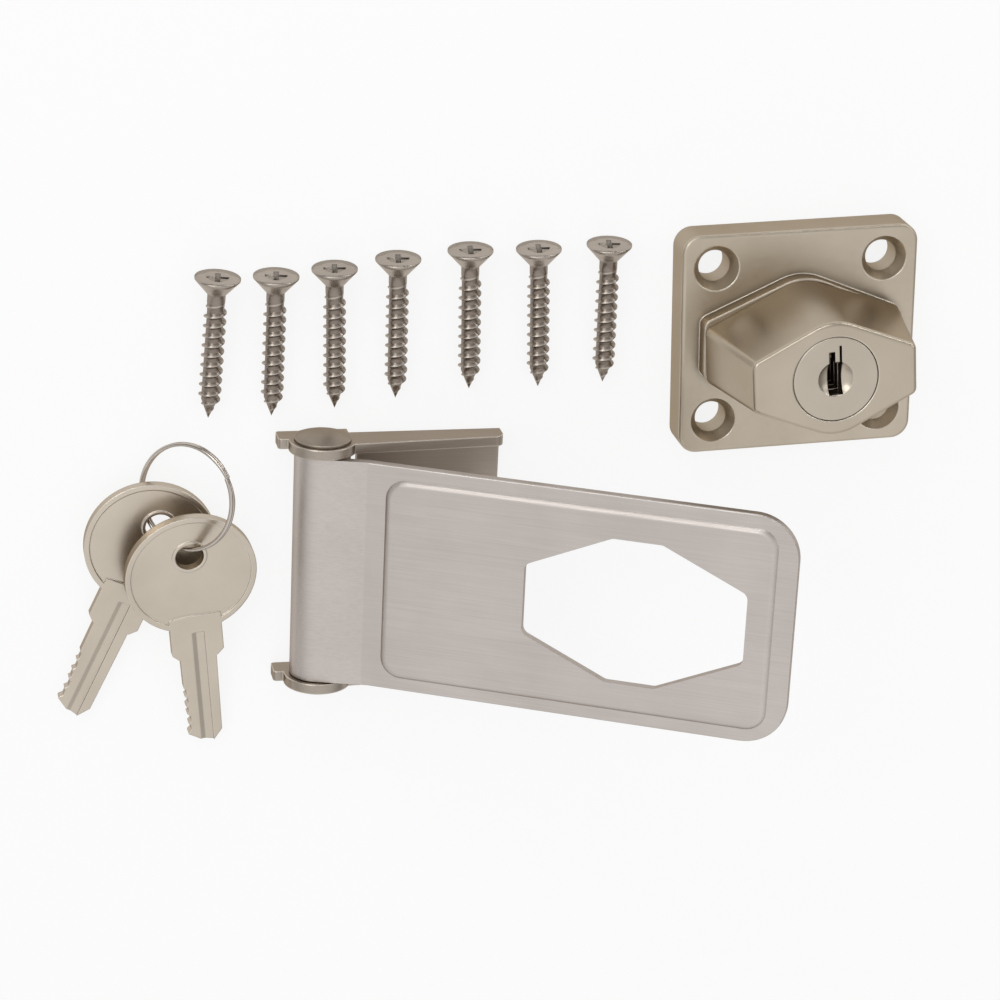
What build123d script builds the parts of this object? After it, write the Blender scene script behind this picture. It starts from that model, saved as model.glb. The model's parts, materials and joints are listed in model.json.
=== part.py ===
from build123d import *
import os
from math import asin, atan2, cos, degrees, hypot, radians, sin, sqrt, tan

# Keyed hasp lock, laid out flat as a set: the hasp with its strap part open, the lock unit with
# its turning knob, seven wood screws, and two keys on a split ring.
# Millimetres. The origin is the middle of the lock plate's four screw holes, on the plate's back.
# +X runs along the set, +Y towards the screws' heads, +Z up from the surface that all of it lies on.

os.makedirs("parts", exist_ok=True)

# Lock plate, die cast, hollow at the back
plate_w = 52.0
plate_h = 48.6
plate_t = 8.0
plate_corner_r = 4.0
plate_edge_r = 0.8
plate_wall = 2.4
plate_face_t = 2.4
hole_dx = 37.0
hole_dy = 34.0
lock_bore_r = 3.4
lock_sink_r = 4.95
lock_sink_angle = 32.0
boss_wall = 1.0
plinth_h = 3.4
plinth_margin = 0.5
plinth_edge_r = 0.35

# Turning knob, a tapered six-sided boss
knob_base_w = 42.8
knob_base_h = 28.4
knob_base_side = 12.0
knob_face_w = 35.0
knob_face_h = 24.4
knob_face_side = 10.6
knob_apex_r = 10.2
knob_corner_r = 1.6
knob_rise = 23.3
knob_edge_r = 1.0
knob_gap = 0.06
hub_r = 12.0
hub_inner_r = 10.0
hub_web = 3.0
running_gap = 0.05
bearing_wall = 3.0
stop_r = 13.3
stop_w = 1.0
stop_depth = 1.6
stop_gap = 0.12
turn_angle = 90.0
# the knob's turn at rest, within its play
knob_rest = 3.4

# Key plug and its wafers
plug_r = 9.2
dish_r = 3.85
dish_depth = 1.5
keyway_w = 3.0
keyway_h = 7.0
keyway_rise = 2.5
keyway_rise_w = 1.3
keyway_rise_x = -0.7
keyway_slit = 3.7
keyway_slit_w = 0.5
keyway_slit_x = 1.15
plug_shank_r = 3.4
tail_side = 4.2
wafer_count = 5
wafer_t = 0.9
wafer_w = 7.0
wafer_pitch = 2.6
wafer_first = 3.4
wafer_gap = 0.06
wafer_window_w = 4.4
wafer_window_h = 9.4
wafer_steps = (0.0, 0.6, -0.4, 0.9, 0.3)
wafer_tab = 1.5
wafer_spring_r = 0.6
wafer_spring_len = 3.0
wafer_spring_wall = 0.2

# Cam, sliding bolt and what keeps the hub in the plate
cam_r = 9.4
cam_t = 2.4
cam_gap = 0.15
cam_low_r = 5.0
bolt_throw = 2.5
bolt_w = 5.0
bolt_t = 2.8
bolt_pin_r = 1.0
bolt_gap = 0.1
bolt_inner_r = 4.3
bolt_guide = 0.5
notch_gap = 0.3
notch_side = 1.3
notch_clear = 0.5
cam_screw_head_r = 3.0
cam_screw_head_t = 1.4
cam_screw_r = 1.5
cam_screw_len = 5.0
ring_groove_r = 10.9
ring_t = 0.8
ring_r = 14.8
ring_opening = 36.0
hub_end = 1.2
hub_lip = 0.8
spring_washer_t = 0.4

# Hasp: place and turn of its hinge on the surface
hinge_x = -104.4
hinge_y = -43.4
hasp_turn = -2.6
hinge_h = 6.2
strap_rest = 26.6

# Swinging strap, sheet with a raised field and a six-sided slot
strap_w = 50.8
strap_len = 103.1
strap_t = 1.8
strap_face_h = 10.1
strap_corner_r = 9.5
strap_edge_r = 0.35
barrel_r = 6.0
knuckle_slope = 11.3
curl_end = 24.0
field_start = 15.3
field_end = 98.8
field_w = 45.0
field_rise = 0.7
field_slope_w = 0.7
field_shoulder_r = 1.6
field_corner_r = 4.5
slot_centre = 69.6
slot_w = 47.3
slot_h = 32.3
slot_side = 15.5
slot_top = 10.6
slot_corner_r = 2.0

# Fixed leaf, a folded channel with an ear at each end of the pin
leaf_t = 2.2
ear_gap = 0.2
leaf_start = 8.1
leaf_end = 38.9
leaf_bend_r = 2.8
leaf_inner_r = 0.5
flange_h_end = 7.5
flange_h_start = 10.0
flange_end_r = 2.0
ear_r = 7.2
ear_nose = 9.3
ear_nose_h = 5.0
ear_nose_drop = 3.3
ear_nose_r = 0.8
leaf_hole_near = 16.4
leaf_hole_far = 29.4
leaf_hole_dy = 27.0
leaf_sink_r = 4.2
leaf_bore_r = 2.6
sink_angle = 41.0

# Hinge pin with two domed heads
pin_gap = 0.05
pin_head_r = 6.05
pin_head_rim = 0.5
pin_dome_h = 1.7

# Wood screws
screw_len = 31.75
screw_head_r = 4.8
screw_head_rim = 0.35
screw_neck_r = 1.9
screw_neck_len = 1.8
screw_thread_r = 2.4
screw_point_len = 5.5
recess_r = 2.4
recess_w = 1.1
recess_depth = 2.2
recess_turn = 8.0
screw_places = (
    (-124.0, 20.9, -4.9),
    (-111.9, 20.5, -2.6),
    (-99.7, 21.3, -0.3),
    (-86.3, 22.6, -0.9),
    (-71.0, 23.5, 0.2),
    (-56.4, 22.9, 1.0),
    (-41.2, 22.9, -0.8),
)

# Keys and split ring
key_t = 2.0
bow_r = 14.1
bow_rim = 1.2
bow_rim_h = 0.35
bow_hole_r = 3.05
bow_hole_offset = 4.6
key_tip = 43.0
shoulder_end = 21.0
shoulder_w = 11.2
blade_w = 8.3
blade_w_end = 7.4
tip_side = 1.7
tip_len = 2.6
neck_start = 11.0
neck_peak = 0.9
hole_rim = 0.7
groove_start = 14.5
groove_w = 1.7
groove_slope_w = 1.1
groove_depth = 0.5
cut_depths = (0.8, 1.05, 0.9, 1.3, 1.15)
cut_pitch = 2.35
cut_first = 29.4
cut_flat = 1.2
cut_slope = 45.0
# bow centre x, y, height of its underside, direction of the blade from -Y, pitch, roll
front_key_place = (-132.43, -42.53, 7.58, 3.64, 9.98, -3.85)
rear_key_place = (-140.09, -36.99, 3.13, -25.97, 4.08, -1.86)
ring_wire = 0.84
ring_mid_r = 11.23
ring_coil_gap = 0.74
# ring centre x, y, z, tilt and the direction of its high side from +X
split_ring_place = (-132.47, -25.56, 8.03, 40.2, -12.7)


def clean(shape):
    """The one solid that a shape holds."""
    solids = shape.solids()
    if len(solids) != 1:
        raise ValueError(f"expected one solid, got {len(solids)}")
    return solids[0]


def hex_outline(w, h, side, apex_r, corner_r):
    """Wide six-sided face: short upright sides, sloping edges and rounded top and bottom."""
    half = w / 2
    k = (h - side) / 2 - apex_r
    slope = (half * k + apex_r * sqrt(half**2 + k**2 - apex_r**2)) / (half**2 - apex_r**2)
    apex = side / 2 + slope * half
    outline = Polygon(
        (-half, -side / 2), (0, -apex), (half, -side / 2),
        (half, side / 2), (0, apex), (-half, side / 2), align=None,
    )
    corners = [v for v in outline.vertices() if abs(v.X) > half / 2]
    outline = fillet(corners, corner_r)
    tips = [v for v in outline.vertices() if abs(v.X) < 1e-6]
    return fillet(tips, apex_r)


def countersink(r, bore_r, top, below, slope):
    """Tool for a countersunk hole: the cone's mouth at height top, its bore down to below."""
    cone_h = (r - bore_r) / tan(radians(slope))
    profile = Polygon((0, below), (bore_r, below), (bore_r, top - cone_h), (r, top),
                      (r, top + 1), (0, top + 1), align=None)
    return revolve(Plane.XZ * profile, Axis.Z)


def ring_sector(r_in, r_out, start, size):
    """Flat sector of a ring, in degrees from +X."""
    middle = (r_in + r_out) / 2
    return SlotArc(CenterArc((0, 0), middle, start, size), r_out - r_in)


# Heights in the lock, up from the plate's back
plinth_top = plate_t + plinth_h
knob_under = plinth_top + knob_gap
knob_top = plinth_top + knob_rise
screw_spots = [(sx * hole_dx / 2, sy * hole_dy / 2) for sx in (-1, 1) for sy in (-1, 1)]
bearing_r = hub_r + running_gap
ring_bottom = hub_end + hub_lip
ring_top = ring_bottom + ring_t
washer_bottom = ring_top + knob_gap
washer_top = washer_bottom + spring_washer_t
boss_bottom = washer_top + knob_gap
cam_bottom = hub_end + cam_screw_head_t + cam_gap
cam_top = cam_bottom + cam_t
bolt_bottom = cam_top + cam_gap
bolt_top = bolt_bottom + bolt_t
web_bottom = bolt_top - bolt_guide
web_top = web_bottom + hub_web
plug_bottom = web_top + running_gap


def lock_plate():
    rounded = RectangleRounded(plate_w, plate_h, plate_corner_r)
    body = extrude(rounded, plate_t)
    body = fillet(body.edges().group_by(Axis.Z)[-1], plate_edge_r)
    inner_r = plate_corner_r - plate_wall
    pocket = RectangleRounded(plate_w - 2 * plate_wall, plate_h - 2 * plate_wall, inner_r)
    body -= extrude(pocket, plate_t - plate_face_t)
    for x, y in screw_spots:
        boss = Pos(x, y) * Circle(lock_sink_r + boss_wall)
        body += extrude(boss & rounded, plate_t - plate_face_t)
    bearing = Circle(bearing_r + bearing_wall)
    body += Pos(0, 0, boss_bottom) * extrude(bearing, plate_t - boss_bottom)
    plinth = extrude(hex_outline(
        knob_base_w + 2 * plinth_margin, knob_base_h + 2 * plinth_margin,
        knob_base_side + plinth_margin, knob_apex_r + plinth_margin, knob_corner_r + plinth_margin,
    ), plinth_h)
    plinth = fillet(plinth.edges().group_by(Axis.Z)[-1], plinth_edge_r)
    body += Pos(0, 0, plate_t) * plinth
    body -= Pos(0, 0, boss_bottom - 1) * extrude(Circle(bearing_r), plinth_top - boss_bottom + 2)
    for x, y in screw_spots:
        body -= Pos(x, y) * countersink(lock_sink_r, lock_bore_r, plate_t, -1, lock_sink_angle)
    # notches for the bolt, one for each end of the knob's turn
    notch_l = hub_r + bolt_throw + notch_clear
    for angle in (180, 180 + turn_angle):
        notch = Pos(notch_l / 2, 0) * Rectangle(notch_l, bolt_w + 2 * notch_side)
        tool = Rot(0, 0, angle) * extrude(notch, bolt_t + 2 * notch_gap)
        body -= Pos(0, 0, bolt_bottom - notch_gap) * tool
    # curved groove that ends the knob's turn
    spread = degrees(stop_gap / stop_r)
    groove = ring_sector(stop_r - stop_w / 2 - stop_gap, stop_r + stop_w / 2 + stop_gap,
                         0, turn_angle)
    body -= Pos(0, 0, plinth_top - stop_depth) * Rot(0, 0, -spread / 2) * extrude(groove, stop_depth + 1)
    return clean(body)


def turn_knob():
    base = hex_outline(knob_base_w, knob_base_h, knob_base_side, knob_apex_r, knob_corner_r)
    face = hex_outline(knob_face_w, knob_face_h, knob_face_side, knob_apex_r, knob_corner_r)
    body = loft([Pos(0, 0, knob_under) * base, Pos(0, 0, knob_top) * face])
    body = fillet(body.edges().group_by(Axis.Z)[-1], knob_edge_r)
    body += Pos(0, 0, hub_end) * extrude(Circle(hub_r), knob_under - hub_end + 1)
    body -= Pos(0, 0, hub_end - 1) * extrude(Circle(hub_inner_r), web_bottom - hub_end + 1)
    # bore for the plug and its shank
    body -= Pos(0, 0, web_top) * extrude(Circle(plug_r + running_gap), knob_top)
    body -= Pos(0, 0, web_bottom - 1) * extrude(Circle(plug_shank_r + running_gap), hub_web + 2)
    # channels that the wafers spring into when no key holds them
    channel_top = knob_top - wafer_first + wafer_pitch / 2
    channel = Rectangle(wafer_w + 1, 2 * (plug_r + wafer_tab))
    body -= Pos(0, 0, web_top) * extrude(channel, channel_top - web_top)
    # groove for the retaining ring
    groove = Circle(hub_r + 1) - Circle(ring_groove_r)
    body -= Pos(0, 0, ring_bottom - knob_gap) * extrude(groove, ring_t + 2 * knob_gap)
    # guide for the sliding bolt, through the hub's wall on the -X side
    guide = Pos(-(hub_r + 1) / 2, 0) * Rectangle(hub_r + 1, bolt_w + 2 * bolt_gap)
    body -= Pos(0, 0, bolt_bottom - bolt_gap) * extrude(guide, bolt_t + 2 * bolt_gap)
    # stop that runs in the plate's curved groove
    lug = Pos(stop_r, 0) * Circle(stop_w / 2)
    body += Pos(0, 0, knob_under - stop_depth + 2 * knob_gap) * extrude(lug, stop_depth)
    return clean(body)


def wafer_heights():
    return [knob_top - wafer_first - i * wafer_pitch for i in range(wafer_count)]


def plug():
    body = Pos(0, 0, plug_bottom) * extrude(Circle(plug_r), knob_top - plug_bottom)
    body = chamfer(body.edges().group_by(Axis.Z)[-1], 0.25)
    ball_r = (dish_r**2 + dish_depth**2) / (2 * dish_depth)
    body -= Pos(0, 0, knob_top + ball_r - dish_depth) * Sphere(ball_r)
    keyway = Rectangle(keyway_w, keyway_h)
    keyway += Pos(keyway_rise_x, (keyway_h + keyway_rise) / 2) * Rectangle(keyway_rise_w, keyway_rise)
    keyway += Pos(keyway_slit_x, (keyway_h + keyway_slit) / 2) * Rectangle(keyway_slit_w, keyway_slit)
    keyway_bottom = plug_bottom + 1.5
    body -= Pos(0, 0, keyway_bottom) * extrude(keyway, knob_top)
    for z in wafer_heights():
        slot_t = wafer_t + 2 * wafer_gap
        slot = Rectangle(wafer_w + 2 * wafer_gap, 2 * plug_r + 2)
        pocket = Pos((wafer_w + wafer_tab) / 2, 0) * Rectangle(wafer_tab + wafer_gap, 2 * wafer_spring_len)
        body -= Pos(0, 0, z - slot_t / 2) * extrude(slot + pocket, slot_t)
        bore = Pos((wafer_w + wafer_tab) / 2, wafer_spring_len, z) * Rot(90, 0, 0)
        body -= bore * Cylinder(wafer_tab / 2, 2 * wafer_spring_len,
                                align=(Align.CENTER, Align.CENTER, Align.MIN))
    body += Pos(0, 0, cam_top) * extrude(Circle(plug_shank_r), plug_bottom - cam_top)
    body += Pos(0, 0, cam_bottom) * extrude(Rectangle(tail_side, tail_side), cam_t)
    body -= Pos(0, 0, cam_bottom) * extrude(Circle(cam_screw_r), cam_screw_len)
    return clean(body)


def wafer(z, step):
    outline = Circle(plug_r - wafer_gap) & Rectangle(wafer_w, 2 * plug_r)
    outline += Pos((wafer_w + wafer_tab) / 2 - wafer_gap, wafer_spring_r - wafer_spring_len / 2) * Rectangle(
        wafer_tab - wafer_gap, 2 * wafer_spring_r)
    outline -= Pos(0, step) * Rectangle(wafer_window_w, wafer_window_h)
    return clean(Pos(0, 0, z - wafer_t / 2) * extrude(outline, wafer_t))


def wafer_spring(z):
    wall = Circle(wafer_spring_r) - Circle(wafer_spring_r - wafer_spring_wall)
    start = 2 * wafer_spring_r - wafer_spring_len / 2 + wafer_gap
    coil = extrude(wall, wafer_spring_len - start)
    return clean(Pos((wafer_w + wafer_tab) / 2, start, z) * Rot(-90, 0, 0) * coil)


def lock_cam():
    """Disc with a slot whose radius grows evenly over the plug's turn, so that it drives the
    bolt both ways."""
    def on_slot(angle, side):
        r = cam_low_r + bolt_throw * angle / radians(turn_angle)
        grow = bolt_throw / radians(turn_angle)
        length = hypot(grow, r)
        x = r * cos(angle) + side * (r * cos(angle) + grow * sin(angle)) / length
        y = r * sin(angle) + side * (r * sin(angle) - grow * cos(angle)) / length
        return (x, y)

    half = bolt_pin_r + bolt_gap
    steps = [radians(turn_angle) * i / 6 for i in range(7)]
    outer = Spline(*[on_slot(a, half) for a in steps])
    inner = Spline(*[on_slot(a, -half) for a in steps])
    ends = [Line(outer @ 0, inner @ 0), Line(outer @ 1, inner @ 1)]
    slot = make_face([outer, inner] + ends)
    slot += Pos(*on_slot(0, 0)) * Circle(half)
    slot += Pos(*on_slot(radians(turn_angle), 0)) * Circle(half)
    disc = Circle(cam_r) - Rectangle(tail_side + 2 * wafer_gap, tail_side + 2 * wafer_gap)
    # the pin stands at -X at rest, and the plug turns anticlockwise, seen from the front
    disc -= Rot(0, 0, 180) * mirror(slot, about=Plane.XZ)
    return clean(Pos(0, 0, cam_bottom) * extrude(disc, cam_t - knob_gap))


def lock_bolt():
    length = hub_r - 0.3 - bolt_inner_r
    body = Pos(-(bolt_inner_r + length / 2), 0, bolt_bottom) * extrude(Rectangle(length, bolt_w), bolt_t)
    body = fillet([e for e in body.edges().filter_by(Axis.Z) if e.center().X < -hub_r / 2], 0.6)
    body += Pos(-cam_low_r, 0, cam_bottom + cam_gap) * extrude(Circle(bolt_pin_r), bolt_bottom - cam_bottom)
    return clean(body)


def cam_screw():
    head = extrude(Circle(cam_screw_head_r), cam_screw_head_t)
    head -= extrude(Rectangle(2 * cam_screw_head_r, 0.8), 0.7)
    shank = Pos(0, 0, cam_screw_head_t) * extrude(Circle(cam_screw_r - running_gap), cam_screw_len - 0.5)
    return clean(Pos(0, 0, cam_bottom - cam_screw_head_t) * (head + shank))


def retaining_ring():
    outline = Circle(ring_r) - Circle(ring_groove_r + running_gap)
    reach = 2 * ring_r
    half = radians(ring_opening / 2)
    outline -= Polygon((0, 0), (reach * cos(half), -reach * sin(half)),
                       (reach * cos(half), reach * sin(half)), align=None)
    return clean(Pos(0, 0, ring_bottom) * Rot(0, 0, 45) * extrude(outline, ring_t))


def spring_washer():
    outline = Circle(bearing_r + bearing_wall - 0.4) - Circle(bearing_r)
    return clean(Pos(0, 0, washer_bottom) * extrude(outline, spring_washer_t))


# The hasp is made with its pin along Y above the origin, then set down in its place.
hasp_place = Pos(hinge_x, hinge_y, 0) * Rot(0, 0, hasp_turn)
strap_place = hasp_place * Pos(0, 0, hinge_h) * Rot(0, -strap_rest, 0) * Pos(0, 0, -hinge_h)
pin_r = barrel_r - strap_t - pin_gap
channel_inner = strap_w + 2 * ear_gap
channel_outer = channel_inner + 2 * leaf_t


def strap_section():
    """Side view of the strap, closed: rolled barrel, sloping knuckle, flat leaf."""
    slope = radians(knuckle_slope)
    curl = Circle(barrel_r) - Circle(barrel_r - strap_t)
    # the roll is open between its end and the sloping knuckle
    start = radians(curl_end)
    stop = radians(90 - knuckle_slope)
    reach = 3 * barrel_r
    curl -= Polygon((0, 0), (reach * cos(start), reach * sin(start)),
                    (reach * cos(stop), reach * sin(stop)), align=None)
    top = (barrel_r * sin(slope), barrel_r * cos(slope))
    face = strap_face_h - hinge_h
    bend_x = top[0] + (top[1] - face) / tan(slope)
    low = (top[0] - strap_t * sin(slope), top[1] - strap_t * cos(slope))
    under_x = bend_x - strap_t * tan(slope / 2)
    sheet = Polygon(top, (bend_x, face), (strap_len, face), (strap_len, face - strap_t),
                    (under_x, face - strap_t), low, align=None)
    return curl + sheet


def field_outline(inset):
    length = field_end - field_start - 2 * inset
    width = field_w - 2 * inset
    shift = (field_start + field_end) / 2
    return Pos(shift, 0) * RectangleRounded(length, width, max(field_corner_r - inset, 0.5))


def raised_field(z, inset, shoulder_r=0.0):
    foot = Pos(0, 0, z) * field_outline(inset)
    crown = Pos(0, 0, z + field_rise) * field_outline(inset + field_slope_w)
    field = loft([foot, crown])
    if shoulder_r:
        field = fillet(field.edges().group_by(Axis.Z)[-1], shoulder_r)
    return field


def strap_slot():
    half_w = slot_w / 2
    half_h = slot_h / 2
    outline = Polygon(
        (-half_w, -slot_side / 2), (-slot_top / 2, -half_h),
        (slot_top / 2, -half_h), (half_w, -slot_side / 2),
        (half_w, slot_side / 2), (slot_top / 2, half_h),
        (-slot_top / 2, half_h), (-half_w, slot_side / 2),
        align=None,
    )
    return Pos(slot_centre, 0) * fillet(outline.vertices(), slot_corner_r)


def strap():
    side = Plane((0, strap_w / 2, hinge_h), x_dir=(1, 0, 0), z_dir=(0, -1, 0))
    body = extrude(side * strap_section(), strap_w, dir=(0, -1, 0))
    # the two far corners are rounded
    far = [e for e in body.edges().filter_by(Axis.Z) if e.center().X > strap_len - 1]
    body = fillet(far, strap_corner_r)
    rim = [e for e in body.edges() if abs(e.center().Z - strap_face_h) < 1e-3 and e.center().X > field_start]
    body = fillet(rim, strap_edge_r)
    body += raised_field(strap_face_h, 0, field_shoulder_r)
    under = strap_face_h - strap_t
    press = strap_t * tan(atan2(field_rise, field_slope_w) / 2)
    body -= raised_field(under, press)
    body -= Pos(0, 0, under - 1) * extrude(strap_slot(), strap_t + field_rise + 2)
    return clean(strap_place * body)


def leaf_holes():
    return [(leaf_hole_near, leaf_hole_dy / 2), (leaf_hole_near, -leaf_hole_dy / 2), (leaf_hole_far, 0)]


def fixed_leaf():
    height = hinge_h + ear_r + 1
    # folded channel, seen along X
    outer = Pos(0, height / 2) * Rectangle(channel_outer, height)
    outer = fillet([v for v in outer.vertices() if v.Y < 1], leaf_bend_r)
    inner = Pos(0, leaf_t + height / 2) * Rectangle(channel_inner, height)
    inner = fillet([v for v in inner.vertices() if v.Y < leaf_t + 1], leaf_inner_r)
    plain = Pos(0, height / 2) * Rectangle(channel_outer, height)
    ear_end = pin_head_r + pin_gap
    across = Plane((0, 0, 0), x_dir=(0, 1, 0), z_dir=(1, 0, 0))
    channel = Pos(ear_end, 0, 0) * extrude(across * (outer - inner), leaf_end - ear_end)
    channel += Pos(-ear_nose, 0, 0) * extrude(across * (plain - inner), ear_nose + ear_end)
    # side view of the flange and its ear
    side = Pos(0, hinge_h) * Circle(ear_r)
    side += Pos(-ear_nose / 2, hinge_h - ear_nose_drop) * RectangleRounded(ear_nose, ear_nose_h, ear_nose_r)
    flange = Polygon((0, 0), (leaf_end, 0), (leaf_end, flange_h_end), (0, flange_h_start), align=None)
    free_tip = flange.vertices().sort_by_distance((leaf_end, flange_h_end))[0]
    side += fillet([free_tip], flange_end_r)
    side &= Pos(0, height / 2) * Rectangle(3 * leaf_end, height)
    cheek = extrude(Plane((0, channel_outer / 2, 0), x_dir=(1, 0, 0), z_dir=(0, -1, 0)) * side, channel_outer)
    body = channel & cheek
    # between the ears the sheet is cut away for the barrel
    length = 2 * (leaf_start + ear_nose)
    window = Pos(leaf_start - length / 2, 0, -1) * Rectangle(length, channel_inner)
    body -= extrude(window, height + 2)
    for x, y in leaf_holes():
        body -= Pos(x, y) * countersink(leaf_sink_r, leaf_bore_r, leaf_t, -1, sink_angle)
    pin_hole = Pos(0, 0, hinge_h) * Rot(90, 0, 0) * Cylinder(pin_r + pin_gap, channel_outer + 2)
    body -= pin_hole
    return clean(hasp_place * body)


def hinge_pin():
    grip = channel_outer / 2 + pin_gap
    dome_r = (pin_head_r**2 + (pin_dome_h - pin_head_rim)**2) / (2 * (pin_dome_h - pin_head_rim))
    rim = grip + pin_head_rim
    crown = grip + pin_dome_h
    mid_angle = asin(pin_head_r / dome_r) / 2
    mid = (dome_r * sin(mid_angle), crown - dome_r + dome_r * cos(mid_angle))
    edges = [
        Line((0, 0), (pin_r, 0)), Line((pin_r, 0), (pin_r, grip)), Line((pin_r, grip), (pin_head_r, grip)),
        Line((pin_head_r, grip), (pin_head_r, rim)), ThreePointArc((pin_head_r, rim), mid, (0, crown)),
        Line((0, crown), (0, 0)),
    ]
    half = revolve(make_face(edges), Axis.Y)
    body = half + mirror(half, about=Plane.XZ)
    return clean(hasp_place * Pos(0, 0, hinge_h) * body)


def mounting_screw(x, y, turn):
    """Flat-head wood screw that lies on its head's rim and its thread, point towards -Y."""
    cone_h = (screw_head_r - screw_neck_r) / tan(radians(sink_angle))
    shoulder = screw_head_rim + cone_h
    thread_start = shoulder + screw_neck_len
    point_start = screw_len - screw_point_len
    profile = Polygon(
        (0, 0), (screw_head_r, 0), (screw_head_r, screw_head_rim), (screw_neck_r, shoulder),
        (screw_neck_r, thread_start), (screw_thread_r, thread_start + 0.8),
        (screw_thread_r, point_start), (0.25, screw_len), (0, screw_len), align=None,
    )
    body = revolve(profile, Axis.Y)
    wing = Polygon((-recess_r, 0), (recess_r, 0), (0.5, recess_depth), (-0.5, recess_depth), align=None)
    for angle in (recess_turn, recess_turn + 90):
        body -= Rot(0, angle, 0) * Pos(0, 0, -recess_w / 2) * extrude(wing, recess_w)
    lean = degrees(asin((screw_head_r - screw_thread_r) / point_start))
    rest = Pos(x, y, screw_head_r) * Rot(0, 0, 180 + turn) * Rot(-lean, 0, 0)
    return clean(rest * body)


def key_blade():
    """Outline of the shoulder and the blade, along +X, with the cuts along its -Y edge."""
    back = blade_w / 2
    end = blade_w_end / 2
    outline = Pos(shoulder_end / 2, 0) * Rectangle(shoulder_end, shoulder_w)
    outline = chamfer([v for v in outline.vertices() if v.X > shoulder_end / 2], (shoulder_w - blade_w) / 2)
    tip_start = key_tip - tip_len
    outline += Polygon((0, -back), (tip_start, -end), (key_tip - tip_len / 3, -end / 3), (key_tip, tip_side),
                       (tip_start, end), (0, back), align=None)
    for i, depth in enumerate(cut_depths):
        cx = cut_first + i * cut_pitch
        run = (depth + back) / tan(radians(cut_slope))
        half = cut_flat / 2
        outline -= Polygon((cx - half - run, -2 * back), (cx - half, depth - back), (cx + half, depth - back),
                           (cx + half + run, -2 * back), align=None)
    return outline


def key(place):
    """Key lying in the XY plane, bow centre above the origin, blade along +X."""
    x, y, z, turn, pitch, roll = place
    disc = Circle(bow_r)
    hole = Pos(-bow_hole_offset, 0) * Circle(bow_hole_r)
    neck = Polygon((neck_start, -bow_r), (neck_start - neck_peak, 0), (neck_start, bow_r),
                   (key_tip + 1, bow_r), (key_tip + 1, -bow_r), align=None)
    # the bow is thinner inside its rim, on both faces
    thin = disc + key_blade() - hole
    thick = disc - Circle(bow_r - bow_rim)
    thick += Pos(-bow_hole_offset, 0) * Circle(bow_hole_r + hole_rim)
    thick += key_blade() & neck
    thick -= hole
    body = Pos(0, 0, bow_rim_h) * extrude(thin, key_t - 2 * bow_rim_h)
    body += extrude(thick, key_t)
    # one groove in each face, steep on one side, that runs out at the tip
    profile = Polygon((-groove_slope_w, 0), (0, -groove_depth), (groove_w, -groove_depth), (groove_w, 0),
                      (groove_w, key_t), (-groove_slope_w, key_t), align=None)
    length = key_tip - groove_start + 1
    groove = extrude(Plane((groove_start, 0, 0), x_dir=(0, 1, 0), z_dir=(1, 0, 0)) * profile, length)
    body -= Pos(0, 0, key_t) * groove
    body -= Rot(180, 0, 0) * groove
    lie = Pos(x, y, z) * Rot(0, 0, turn - 90) * Rot(0, pitch, 0) * Rot(roll, 0, 0)
    return clean(lie * body)


def split_ring():
    """Two coils of wire that lie against each other, joined by a short crossing, as one ring."""
    x, y, z, tilt, high_side = split_ring_place
    coil = Torus(ring_mid_r, ring_wire / 2)
    shift = ring_coil_gap / 2
    body = Pos(0, 0, shift) * coil + Pos(0, 0, -shift) * coil
    return clean(Pos(x, y, z) * Rot(0, 0, high_side) * Rot(0, -tilt, 0) * body)


knob_turned = Rot(0, 0, knob_rest)
solids = {
    "lock_plate": lock_plate(),
    "turn_knob": knob_turned * turn_knob(),
    "plug": knob_turned * plug(),
    "lock_cam": knob_turned * lock_cam(),
    "lock_bolt": knob_turned * lock_bolt(),
    "cam_screw": knob_turned * cam_screw(),
    "retaining_ring": knob_turned * retaining_ring(),
    "spring_washer": spring_washer(),
    "fixed_leaf": fixed_leaf(),
    "strap": strap(),
    "hinge_pin": hinge_pin(),
    "front_key": key(front_key_place),
    "rear_key": key(rear_key_place),
    "split_ring": split_ring(),
}
for number, (height, step) in enumerate(zip(wafer_heights(), wafer_steps), 1):
    solids[f"wafer_{number}"] = knob_turned * wafer(height, step)
    solids[f"wafer_spring_{number}"] = knob_turned * wafer_spring(height)
for number, spot in enumerate(screw_places, 1):
    solids[f"mounting_screw_{number}"] = mounting_screw(*spot)

for node, solid in solids.items():
    export_step(solid, f"parts/{node}.step")
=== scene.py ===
import bpy
import bmesh
import json
from math import cos, radians, sin, tau
from mathutils import Matrix, Vector


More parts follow.
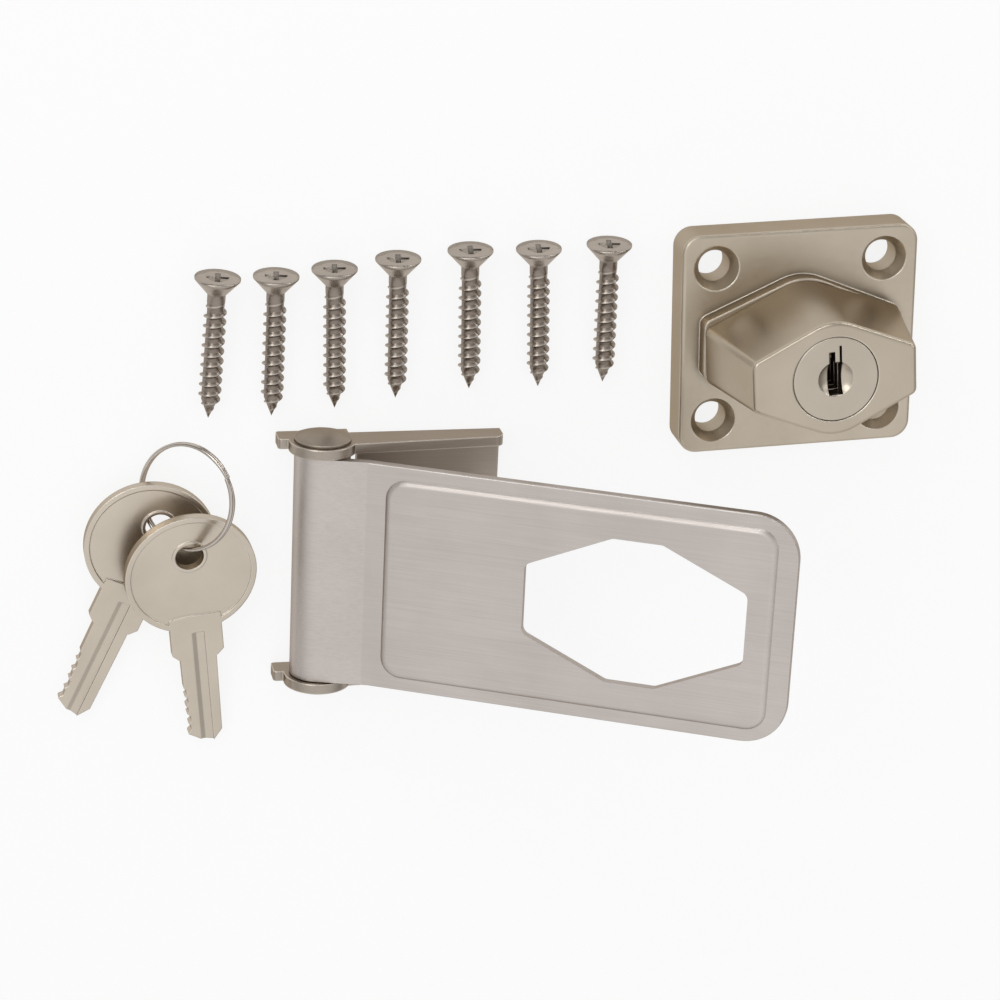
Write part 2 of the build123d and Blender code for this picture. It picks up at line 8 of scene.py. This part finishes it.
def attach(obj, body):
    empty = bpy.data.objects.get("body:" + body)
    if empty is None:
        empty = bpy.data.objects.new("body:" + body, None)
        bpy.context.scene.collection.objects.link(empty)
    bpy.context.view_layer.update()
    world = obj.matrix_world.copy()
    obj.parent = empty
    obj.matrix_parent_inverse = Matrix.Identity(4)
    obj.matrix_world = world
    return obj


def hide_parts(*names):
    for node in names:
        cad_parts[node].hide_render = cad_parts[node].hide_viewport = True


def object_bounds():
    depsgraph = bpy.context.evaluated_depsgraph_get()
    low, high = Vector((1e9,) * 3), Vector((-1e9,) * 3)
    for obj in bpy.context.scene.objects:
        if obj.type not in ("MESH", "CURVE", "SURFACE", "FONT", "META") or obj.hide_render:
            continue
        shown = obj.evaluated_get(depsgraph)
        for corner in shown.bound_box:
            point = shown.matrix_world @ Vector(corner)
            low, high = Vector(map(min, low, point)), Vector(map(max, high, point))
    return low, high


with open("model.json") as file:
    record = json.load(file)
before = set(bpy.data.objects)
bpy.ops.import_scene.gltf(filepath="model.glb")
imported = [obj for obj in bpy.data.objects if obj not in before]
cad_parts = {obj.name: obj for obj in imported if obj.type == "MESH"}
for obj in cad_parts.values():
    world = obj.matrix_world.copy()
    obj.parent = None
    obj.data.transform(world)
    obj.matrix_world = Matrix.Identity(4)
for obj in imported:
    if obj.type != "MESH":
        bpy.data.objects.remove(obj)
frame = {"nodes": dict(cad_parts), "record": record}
cad_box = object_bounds()
nodes = frame["nodes"]
MM = 0.001

# Camera, fitted to the photograph's outlines, in metres; the lens is in pixels of the square image
camera_spot = Vector((-0.1967, 0.2153, 0.6265))
camera_target = Vector((-0.0637, -0.0349, 0.0))
camera_near = 0.01
camera_far = 10.0
lens_px = 3169.7
image_px = 1000
sensor_mm = 36.0

# How the hasp lies, in degrees: its turn on the floor and the strap's tilt at rest
hasp_turn = -2.6
strap_rest = 26.6

# Wood screws, in millimetres and degrees: where each head lies, seen from above, and the screw's turn
screw_places = (
    (-124.0, 20.9, -4.9),
    (-111.9, 20.5, -2.6),
    (-99.7, 21.3, -0.3),
    (-86.3, 22.6, -0.9),
    (-71.0, 23.5, 0.2),
    (-56.4, 22.9, 1.0),
    (-41.2, 22.9, -0.8),
)
screw_facing = 180
screw_lean = 5.25
screw_len = 31.75
screw_head_r = 4.8
screw_cone_end = 3.4
screw_neck_r = 1.9
neck_gap = 0.02
thread_start = 5.5
thread_lead = 0.2
thread_cut = 0.05
thread_run_in = 1.6
thread_pitch = 2.2
thread_root_r = 1.75
thread_crest_r = 2.4
thread_point = 4.4
thread_blunt = 1.0
thread_steps = 40
# one row of points across a turn: share of the pitch, and whether it is on the crest
thread_profile = ((0.0, False), (0.36, False), (0.47, True), (0.53, True), (0.64, False))

# How much of the metal's own tone each place of a screw keeps, from 0 to 1; below 1 is painted shade, on
# the head, under it and most in the thread's roots
head_lit_share = 0.75
neck_lit_share = 0.3
root_lit_share = 0.18
crest_lit_share = 1.0

# Split ring, in millimetres and degrees: centre, tilt, and the side to which it rises
ring_centre = (-132.47, -25.56, 8.03)
ring_tilt = 40.2
ring_high_side = -12.7
ring_mid_r = 11.23
ring_wire_r = 0.42
ring_coil_gap = 0.74
ring_end = 40.0
ring_cross = 24.0
ring_steps = 180
wire_steps = 14

# Angle in degrees at which faces still meet smoothly, and how close points are joined, in metres
node_smooth = 30.0
wire_smooth = 35.0
screw_smooth = 40.0
join_gap = 1e-7

# Grain of the metals: noise scales, the noise's middle range, and the depth of its relief in metres
fine_detail = 3.0
cloud_scale = 60.0
streak_scale = 3600.0
streak_detail = 2.0
streak_stretch = (0.015, 1, 1)
noise_rough = 0.5
noise_middle = (0.3, 0.7)
grain_depth = 0.0004

# Lighter edges (partly wear, partly a painted highlight) and painted shade in hollows: how well the
# rounded normal agrees with the face's own, outside an edge and on it, and the open share of the view,
# down in a hollow and on an open face
shade_samples = 8
edge_match = (0.985, 0.90)
open_share = (0.35, 0.85)
# Tone of the painted shade in a screw thread's roots and under its head
root_shade_tone = (0.21, 0.17, 0.14)

# Floor, in metres, with the share of its own glow where the camera or a metal sees it
floor_reach = 4.0
floor_drop = 0.00005
floor_grey = (0.86, 0.86, 0.86)
floor_rough = 0.8
floor_gloss = 0.1
floor_glow = 0.85

# Studio surround: its bright side, how far a direction turns to it, and the strength over that range
bright_side = Vector((-0.15, -0.45, 0.88))
side_facing = (-0.3, 1.0)
sky_strength = (0.06, 0.95)

# Lamps aimed at the middle of the set: name, place, width and height in metres, and watts
lamp_target = Vector((-0.06, -0.03, 0.02))
lamps = (
    ("key_light", (-0.75, 0.55, 0.95), (0.5, 0.5), 2.0),
    ("side_light", (0.95, 0.25, 0.6), (0.4, 0.6), 0.8),
    ("back_strip", (-0.30, 0.80, 0.48), (0.9, 0.26), 2.1),
    ("back_right_strip", (0.58, 0.68, 0.27), (0.7, 0.08), 1.3),
)


def feed(tree, socket, value):
    """Give a socket another node's output, a colour of three parts, or a plain value."""
    if isinstance(value, bpy.types.NodeSocket):
        tree.links.new(value, socket)
    elif socket.type == "RGBA":
        socket.default_value = (*value, 1)
    else:
        socket.default_value = value


def add_node(tree, kind, inputs=None, **settings):
    """A shader node of a kind, with its settings made before its inputs are fed."""
    node = tree.nodes.new(kind)
    for key, value in settings.items():
        setattr(node, key, value)
    for key, value in (inputs or {}).items():
        feed(tree, node.inputs[key], value)
    return node


def new_material(name):
    mat = bpy.data.materials.new(name)
    mat.use_nodes = True
    return mat, mat.node_tree, mat.node_tree.nodes["Principled BSDF"]


def object_coords(tree, turn=(0, 0, 0), stretch=(1, 1, 1)):
    """Object coordinates, turned back by turn and then scaled by stretch."""
    coords = add_node(tree, "ShaderNodeTexCoord").outputs["Object"]
    inputs = {"Vector": coords, "Rotation": turn}
    back = add_node(tree, "ShaderNodeVectorRotate", inputs, rotation_type="EULER_XYZ", invert=True)
    inputs = {"Vector": back.outputs["Vector"], "Scale": stretch}
    return add_node(tree, "ShaderNodeMapping", inputs).outputs["Vector"]


def noise(tree, vector, scale, detail=fine_detail):
    inputs = {"Vector": vector, "Scale": scale, "Detail": detail, "Roughness": noise_rough}
    return add_node(tree, "ShaderNodeTexNoise", inputs).outputs["Fac"]


def calculate(tree, operation, first, second):
    return add_node(tree, "ShaderNodeMath", {0: first, 1: second}, operation=operation).outputs[0]


def span(tree, value, before, after, curve="LINEAR"):
    """A value carried over from its range before to its range after, each as low and high."""
    inputs = {
        "Value": value,
        "From Min": before[0],
        "From Max": before[1],
        "To Min": after[0],
        "To Max": after[1],
    }
    return add_node(tree, "ShaderNodeMapRange", inputs, interpolation_type=curve).outputs["Result"]


def mix_colours(tree, share, first, second, blend="MIX"):
    inputs = {"Factor": share, "A": first, "B": second}
    return add_node(tree, "ShaderNodeMix", inputs, data_type="RGBA", blend_type=blend).outputs["Result"]


def softened_edges(tree, radius):
    """The normal rounded over within the radius of an edge, and a mask that is 1 on the edge itself."""
    soft = add_node(tree, "ShaderNodeBevel", {"Radius": radius}, samples=shade_samples).outputs["Normal"]
    plain = add_node(tree, "ShaderNodeNewGeometry").outputs["Normal"]
    match = add_node(tree, "ShaderNodeVectorMath", {0: soft, 1: plain}, operation="DOT_PRODUCT")
    return soft, span(tree, match.outputs["Value"], edge_match, (0.0, 1.0))


def hollow_shade(tree, reach, darkest):
    """Grey that is white on open faces and falls to the darkest level down in narrow hollows."""
    inputs = {"Distance": reach}
    settings = {"samples": shade_samples, "only_local": True}
    sight = add_node(tree, "ShaderNodeAmbientOcclusion", inputs, **settings).outputs["AO"]
    level = span(tree, sight, open_share, (darkest, 1.0))
    grey = add_node(tree, "ShaderNodeCombineColor", {0: level, 1: level, 2: level})
    return grey.outputs["Color"]


def plated(name, dark, light, rough, relief=0.05, grain=900.0, brush=None, turn=(0, 0, 0),
           edge=None, edge_r=0.0003, hollow=None, painted_shade_attr=None, grazing=(0.50, 0.43, 0.36)):
    """Satin metal: brushed along one axis where brush is given, or else with a fine even grain.

    Edges are lighter, partly from wear and partly as a painted highlight, and hollows are painted
    darker as shade where they are asked for. The attribute that is asked for paints shade in a
    thread's root, leading from its painted shade tone to the metal's own. Grazing is the tone that
    the metal takes on where it is seen at a flat angle.
    """
    mat, tree, shader = new_material(name)
    lines = noise(tree, object_coords(tree, turn, brush or (1, 1, 1)), grain)
    cloud = noise(tree, object_coords(tree), cloud_scale)
    if brush:
        streaks = noise(tree, object_coords(tree, turn, streak_stretch), streak_scale, streak_detail)
        cloud = calculate(tree, "MULTIPLY", calculate(tree, "ADD", cloud, streaks), 0.5)
    colour = mix_colours(tree, span(tree, cloud, noise_middle, (0.0, 1.0)), dark, light)
    # Painted shade on screws: the colour drawn towards a dark tone where the attribute is low
    if painted_shade_attr:
        lit_share = add_node(tree, "ShaderNodeAttribute", attribute_name=painted_shade_attr).outputs["Fac"]
        colour = mix_colours(tree, lit_share, root_shade_tone, colour)
    # Painted shade: the colour darkened down in hollows of the piece
    if hollow:
        colour = mix_colours(tree, 1.0, colour, hollow_shade(tree, *hollow), "MULTIPLY")
    relief_inputs = {"Strength": relief, "Distance": grain_depth, "Height": lines}
    # Lighter tint on edges: partly edge wear, partly a painted highlight
    if edge:
        relief_inputs["Normal"], mask = softened_edges(tree, edge_r)
        colour = mix_colours(tree, mask, colour, edge)
    bump = add_node(tree, "ShaderNodeBump", relief_inputs)
    feed(tree, shader.inputs["Metallic"], 1.0)
    feed(tree, shader.inputs["Specular Tint"], grazing)
    feed(tree, shader.inputs["Base Color"], colour)
    feed(tree, shader.inputs["Roughness"], span(tree, lines, noise_middle, rough))
    feed(tree, shader.inputs["Normal"], bump.outputs["Normal"])
    return mat


# Brushed sheet: lines along the sheet, which for the strap are turned as it lies at rest
brushed = {"brush": (0.012, 1, 1), "grain": 6500.0}
leaf_turn = (0, 0, radians(hasp_turn))
strap_turn = (0, radians(-strap_rest), radians(hasp_turn))

materials = {
    "satin_nickel_cast": plated(
        "cast_nickel", (0.50, 0.435, 0.345), (0.56, 0.49, 0.40), rough=(0.30, 0.38), relief=0.012,
        edge=(0.74, 0.68, 0.58), edge_r=0.0005, hollow=(0.003, 0.45)),
    "satin_nickel_plug": plated(
        "plug_nickel", (0.50, 0.445, 0.37), (0.56, 0.50, 0.42), rough=(0.29, 0.32), relief=0.006,
        grain=1800.0, edge=(0.66, 0.60, 0.51), hollow=(0.003, 0.15)),
    "satin_nickel_sheet": plated(
        "sheet_nickel", (0.53, 0.485, 0.452), (0.62, 0.572, 0.54), rough=(0.36, 0.48), relief=0.05,
        turn=strap_turn, **brushed),
    "satin_nickel_pin": plated(
        "pin_nickel", (0.33, 0.28, 0.23), (0.42, 0.37, 0.31), rough=(0.42, 0.50), relief=0.008,
        edge=(0.60, 0.54, 0.46)),
    "nickel_screw": plated(
        "screw_nickel", (0.46, 0.41, 0.36), (0.54, 0.48, 0.42), rough=(0.26, 0.36), relief=0.02,
        edge=(0.70, 0.64, 0.56), edge_r=0.00025, hollow=(0.0018, 0.16), painted_shade_attr="crest",
        grazing=(0.85, 0.80, 0.74)),
    "nickel_key": plated(
        "key_nickel", (0.565, 0.50, 0.42), (0.64, 0.57, 0.48), rough=(0.30, 0.34), relief=0.006,
        grain=1800.0, edge=(0.72, 0.66, 0.58), edge_r=0.0004),
    "bright_wire": plated(
        "wire_nickel", (0.52, 0.47, 0.42), (0.62, 0.57, 0.52), rough=(0.12, 0.2), relief=0.01),
    "inner_steel": plated("inner_steel", (0.42, 0.42, 0.43), (0.52, 0.52, 0.53), rough=(0.3, 0.45)),
    "wafer_brass": plated("wafer_brass", (0.62, 0.46, 0.22), (0.72, 0.56, 0.29), rough=(0.25, 0.4)),
}

# Two nodes have a material of their own within their slot: the knob a finer grain, and the leaf a darker
# copy of the sheet's nickel, a painted shade
own_material = {
    "turn_knob": plated(
        "knob_nickel", (0.49, 0.425, 0.335), (0.55, 0.48, 0.39), rough=(0.28, 0.31), relief=0.002,
        grain=2500.0, edge=(0.74, 0.68, 0.58), edge_r=0.0006, hollow=(0.003, 0.45)),
    # The leaf is the sheet's nickel made darker: painted shade
    "fixed_leaf": plated(
        "leaf_nickel_painted_shade", (0.37, 0.32, 0.27), (0.44, 0.385, 0.33), rough=(0.28, 0.40), relief=0.035,
        turn=leaf_turn, edge=(0.72, 0.65, 0.57), edge_r=0.0005, **brushed),
}


def smooth_by_angle(mesh, angle):
    """Smooth faces, with sharp edges kept where faces meet at more than the angle."""
    for face in mesh.polygons:
        face.use_smooth = True
    mesh.set_sharp_from_angle(angle=radians(angle))


slot_of = {row["node"]: row["material_slot"] for row in frame["record"]["subparts"]}
for name, node in nodes.items():
    node.data.materials.clear()
    node.data.materials.append(own_material.get(name, materials[slot_of[name]]))
    smooth_by_angle(node.data, node_smooth)


def add_piece(name, mesh, slot, smooth, node):
    """A piece of the scene that stands for a node of the base and takes the finish of a slot."""
    piece = bpy.data.objects.new(name, mesh)
    bpy.context.scene.collection.objects.link(piece)
    mesh.materials.append(materials[slot])
    smooth_by_angle(mesh, smooth)
    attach(piece, "base")
    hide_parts(node)


def laid(spot, turn, tilt, axis):
    """Where a piece lies: its spot in millimetres, its turn on the floor and its tilt about an axis."""
    lie = Matrix.Rotation(radians(turn), 4, "Z") @ Matrix.Rotation(radians(tilt), 4, axis)
    return Matrix.Translation(Vector(spot) * MM) @ lie


def between(value):
    """A value held within 0 and 1."""
    return min(max(value, 0.0), 1.0)


def thread_radii(along):
    """Root and crest radius at a place along the screw: both run out at the neck and at the point."""
    left = screw_len - along
    begun = along - thread_start
    neck = between(1 - begun / thread_run_in)
    root = thread_root_r + (screw_neck_r - neck_gap - thread_root_r) * neck
    root = root * min(left / thread_point, 1.0)
    rise = between(begun / thread_pitch) * between((left - thread_blunt) / thread_point)
    return root, root + (thread_crest_r - thread_root_r) * rise


def threaded_shank():
    """Points, faces and painted shade levels of the thread: rows of points that climb one pitch in each
    turn.

    The first and last turns are drawn together into the neck's rim and into the point.
    """
    first = thread_start - thread_lead
    width = len(thread_profile)
    total = int(thread_steps * ((screw_len - first) / thread_pitch + 2))
    verts = []
    lit_share = []
    faces = []
    for i in range(total + 1):
        angle = tau * i / thread_steps
        for share, is_crest in thread_profile:
            along = first + thread_pitch * (i / thread_steps + share - 1)
            along = min(max(along, first), screw_len)
            r = thread_radii(along)[is_crest]
            verts.append((r * cos(angle), along, -r * sin(angle)))
            lit_share.append(crest_lit_share if is_crest else root_lit_share)
    for i in range(total):
        for k in range(width - 1):
            a = i * width + k
            faces.append((a, a + 1, a + 1 + width, a + width))
        # the last line of one turn meets the first line of the next turn
        if i + thread_steps < total:
            a = i * width + width - 1
            b = (i + thread_steps) * width
            faces.append((a, b, b + width, a + width))
    return verts, faces, lit_share


def make_screw(number, x, y, turn):
    """The node's own head and neck, with a cut thread in place of its plain shank."""
    name = f"mounting_screw_{number}"
    rest = laid((x, y, screw_head_r), screw_facing + turn, -screw_lean, "X")
    bm = bmesh.new()
    bm.from_mesh(nodes[name].data)
    bm.transform(rest.inverted())
    limit = (thread_start - thread_cut) * MM
    shank = [face for face in bm.faces if face.calc_center_median().y > limit]
    bmesh.ops.delete(bm, geom=shank, context="FACES")
    loose = [vert for vert in bm.verts if not vert.link_faces]
    bmesh.ops.delete(bm, geom=loose, context="VERTS")
    # Painted shade levels: the head and neck keep part of the metal's tone, the thread's roots far less
    crest = bm.verts.layers.float.new("crest")
    for vert in bm.verts:
        vert[crest] = head_lit_share if vert.co.y < screw_cone_end * MM else neck_lit_share
    verts, faces, lit_share = threaded_shank()
    added = [bm.verts.new(Vector(vert) * MM) for vert in verts]
    for vert, level in zip(added, lit_share):
        vert[crest] = level
    for face in faces:
        bm.faces.new([added[k] for k in face])
    bmesh.ops.remove_doubles(bm, verts=bm.verts, dist=join_gap)
    bmesh.ops.dissolve_degenerate(bm, edges=bm.edges, dist=join_gap)
    bmesh.ops.recalc_face_normals(bm, faces=bm.faces)
    bm.transform(rest)
    mesh = bpy.data.meshes.new(f"threaded_{name}")
    bm.to_mesh(mesh)
    bm.free()
    add_piece(f"threaded_{name}", mesh, "nickel_screw", screw_smooth, name)


for number, place in enumerate(screw_places, 1):
    make_screw(number, *place)


def make_split_ring():
    """Two turns of round wire, side by side, that cross over in a short slanted stretch."""
    rest = laid(ring_centre, ring_high_side, -ring_tilt, "Y")
    verts = []
    faces = []
    for i in range(ring_steps + 1):
        run = 2 * tau * i / ring_steps
        side = max(-1.0, min(1.0, (run - tau) / radians(ring_cross))) * ring_coil_gap / 2
        angle = radians(ring_end) + run
        for k in range(wire_steps):
            turn = tau * k / wire_steps
            r = ring_mid_r + ring_wire_r * cos(turn)
            point = Vector((r * cos(angle), r * sin(angle), side + ring_wire_r * sin(turn)))
            verts.append(rest @ (point * MM))
    for i in range(ring_steps):
        for k in range(wire_steps):
            a = i * wire_steps + k
            b = i * wire_steps + (k + 1) % wire_steps
            faces.append((a, b, b + wire_steps, a + wire_steps))
    faces.append(tuple(reversed(range(wire_steps))))
    faces.append(tuple(ring_steps * wire_steps + k for k in range(wire_steps)))
    mesh = bpy.data.meshes.new("coiled_split_ring")
    mesh.from_pydata(verts, [], faces)
    mesh.update()
    add_piece("coiled_split_ring", mesh, "bright_wire", wire_smooth, "split_ring")


make_split_ring()


def make_floor():
    """Pale floor that still takes shadows, and that the camera and metals see as nearly white."""
    corners = [(-1, -1), (1, -1), (1, 1), (-1, 1)]
    verts = [(x * floor_reach, y * floor_reach, 0) for x, y in corners]
    mesh = bpy.data.meshes.new("floor")
    mesh.from_pydata(verts, [], [(0, 1, 2, 3)])
    floor = bpy.data.objects.new("floor", mesh)
    bpy.context.scene.collection.objects.link(floor)
    floor.location = (0, 0, cad_box[0][2] - floor_drop)
    mat, tree, shader = new_material("floor")
    feed(tree, shader.inputs["Base Color"], floor_grey)
    feed(tree, shader.inputs["Roughness"], floor_rough)
    feed(tree, shader.inputs["Specular IOR Level"], floor_gloss)
    rays = add_node(tree, "ShaderNodeLightPath").outputs
    seen = calculate(tree, "MAXIMUM", rays["Is Camera Ray"], rays["Is Glossy Ray"])
    seen = calculate(tree, "MAXIMUM", seen, rays["Is Transmission Ray"])
    share = calculate(tree, "MULTIPLY", seen, floor_glow)
    glow = add_node(tree, "ShaderNodeEmission", {"Strength": 1.0})
    mix = add_node(tree, "ShaderNodeMixShader", {0: share, 1: shader.outputs[0], 2: glow.outputs[0]})
    feed(tree, tree.nodes["Material Output"].inputs["Surface"], mix.outputs[0])
    mesh.materials.append(mat)


make_floor()


def make_world():
    """Soft studio surround, bright overhead and in front, and dimmer low down behind."""
    world = bpy.data.worlds.new("studio")
    bpy.context.scene.world = world
    world.use_nodes = True
    tree = world.node_tree
    coords = add_node(tree, "ShaderNodeTexCoord").outputs["Generated"]
    inputs = {0: coords, 1: bright_side.normalized()}
    facing = add_node(tree, "ShaderNodeVectorMath", inputs, operation="DOT_PRODUCT").outputs["Value"]
    sky = tree.nodes["Background"]
    feed(tree, sky.inputs["Color"], (1, 1, 1))
    feed(tree, sky.inputs["Strength"], span(tree, facing, side_facing, sky_strength, "SMOOTHSTEP"))


make_world()


def add_lamp(name, spot, size, power):
    """A soft rectangular lamp that faces the middle of the set."""
    lamp = bpy.data.lights.new(name, "AREA")
    lamp.shape = "RECTANGLE"
    lamp.size, lamp.size_y = size
    lamp.energy = power
    holder = bpy.data.objects.new(name, lamp)
    bpy.context.scene.collection.objects.link(holder)
    holder.location = spot
    holder.rotation_euler = (Vector(spot) - lamp_target).to_track_quat("Z", "Y").to_euler()


for lamp_row in lamps:
    add_lamp(*lamp_row)


def make_camera():
    """Camera at the photograph's viewing angle, with the set's far side up in the image."""
    camera_data = bpy.data.cameras.new("camera")
    camera_data.sensor_width = sensor_mm
    camera_data.lens = lens_px * sensor_mm / image_px
    camera_data.clip_start = camera_near
    camera_data.clip_end = camera_far
    camera = bpy.data.objects.new("camera", camera_data)
    bpy.context.scene.collection.objects.link(camera)
    back = (camera_spot - camera_target).normalized()
    up = (Vector((0, 1, 0)) - back * back.y).normalized()
    right = up.cross(back)
    turned = Matrix((right, up, back)).transposed().to_4x4()
    camera.matrix_world = Matrix.Translation(camera_spot) @ turned
    bpy.context.scene.camera = camera


make_camera()
bpy.context.scene.view_settings.view_transform = "Standard"
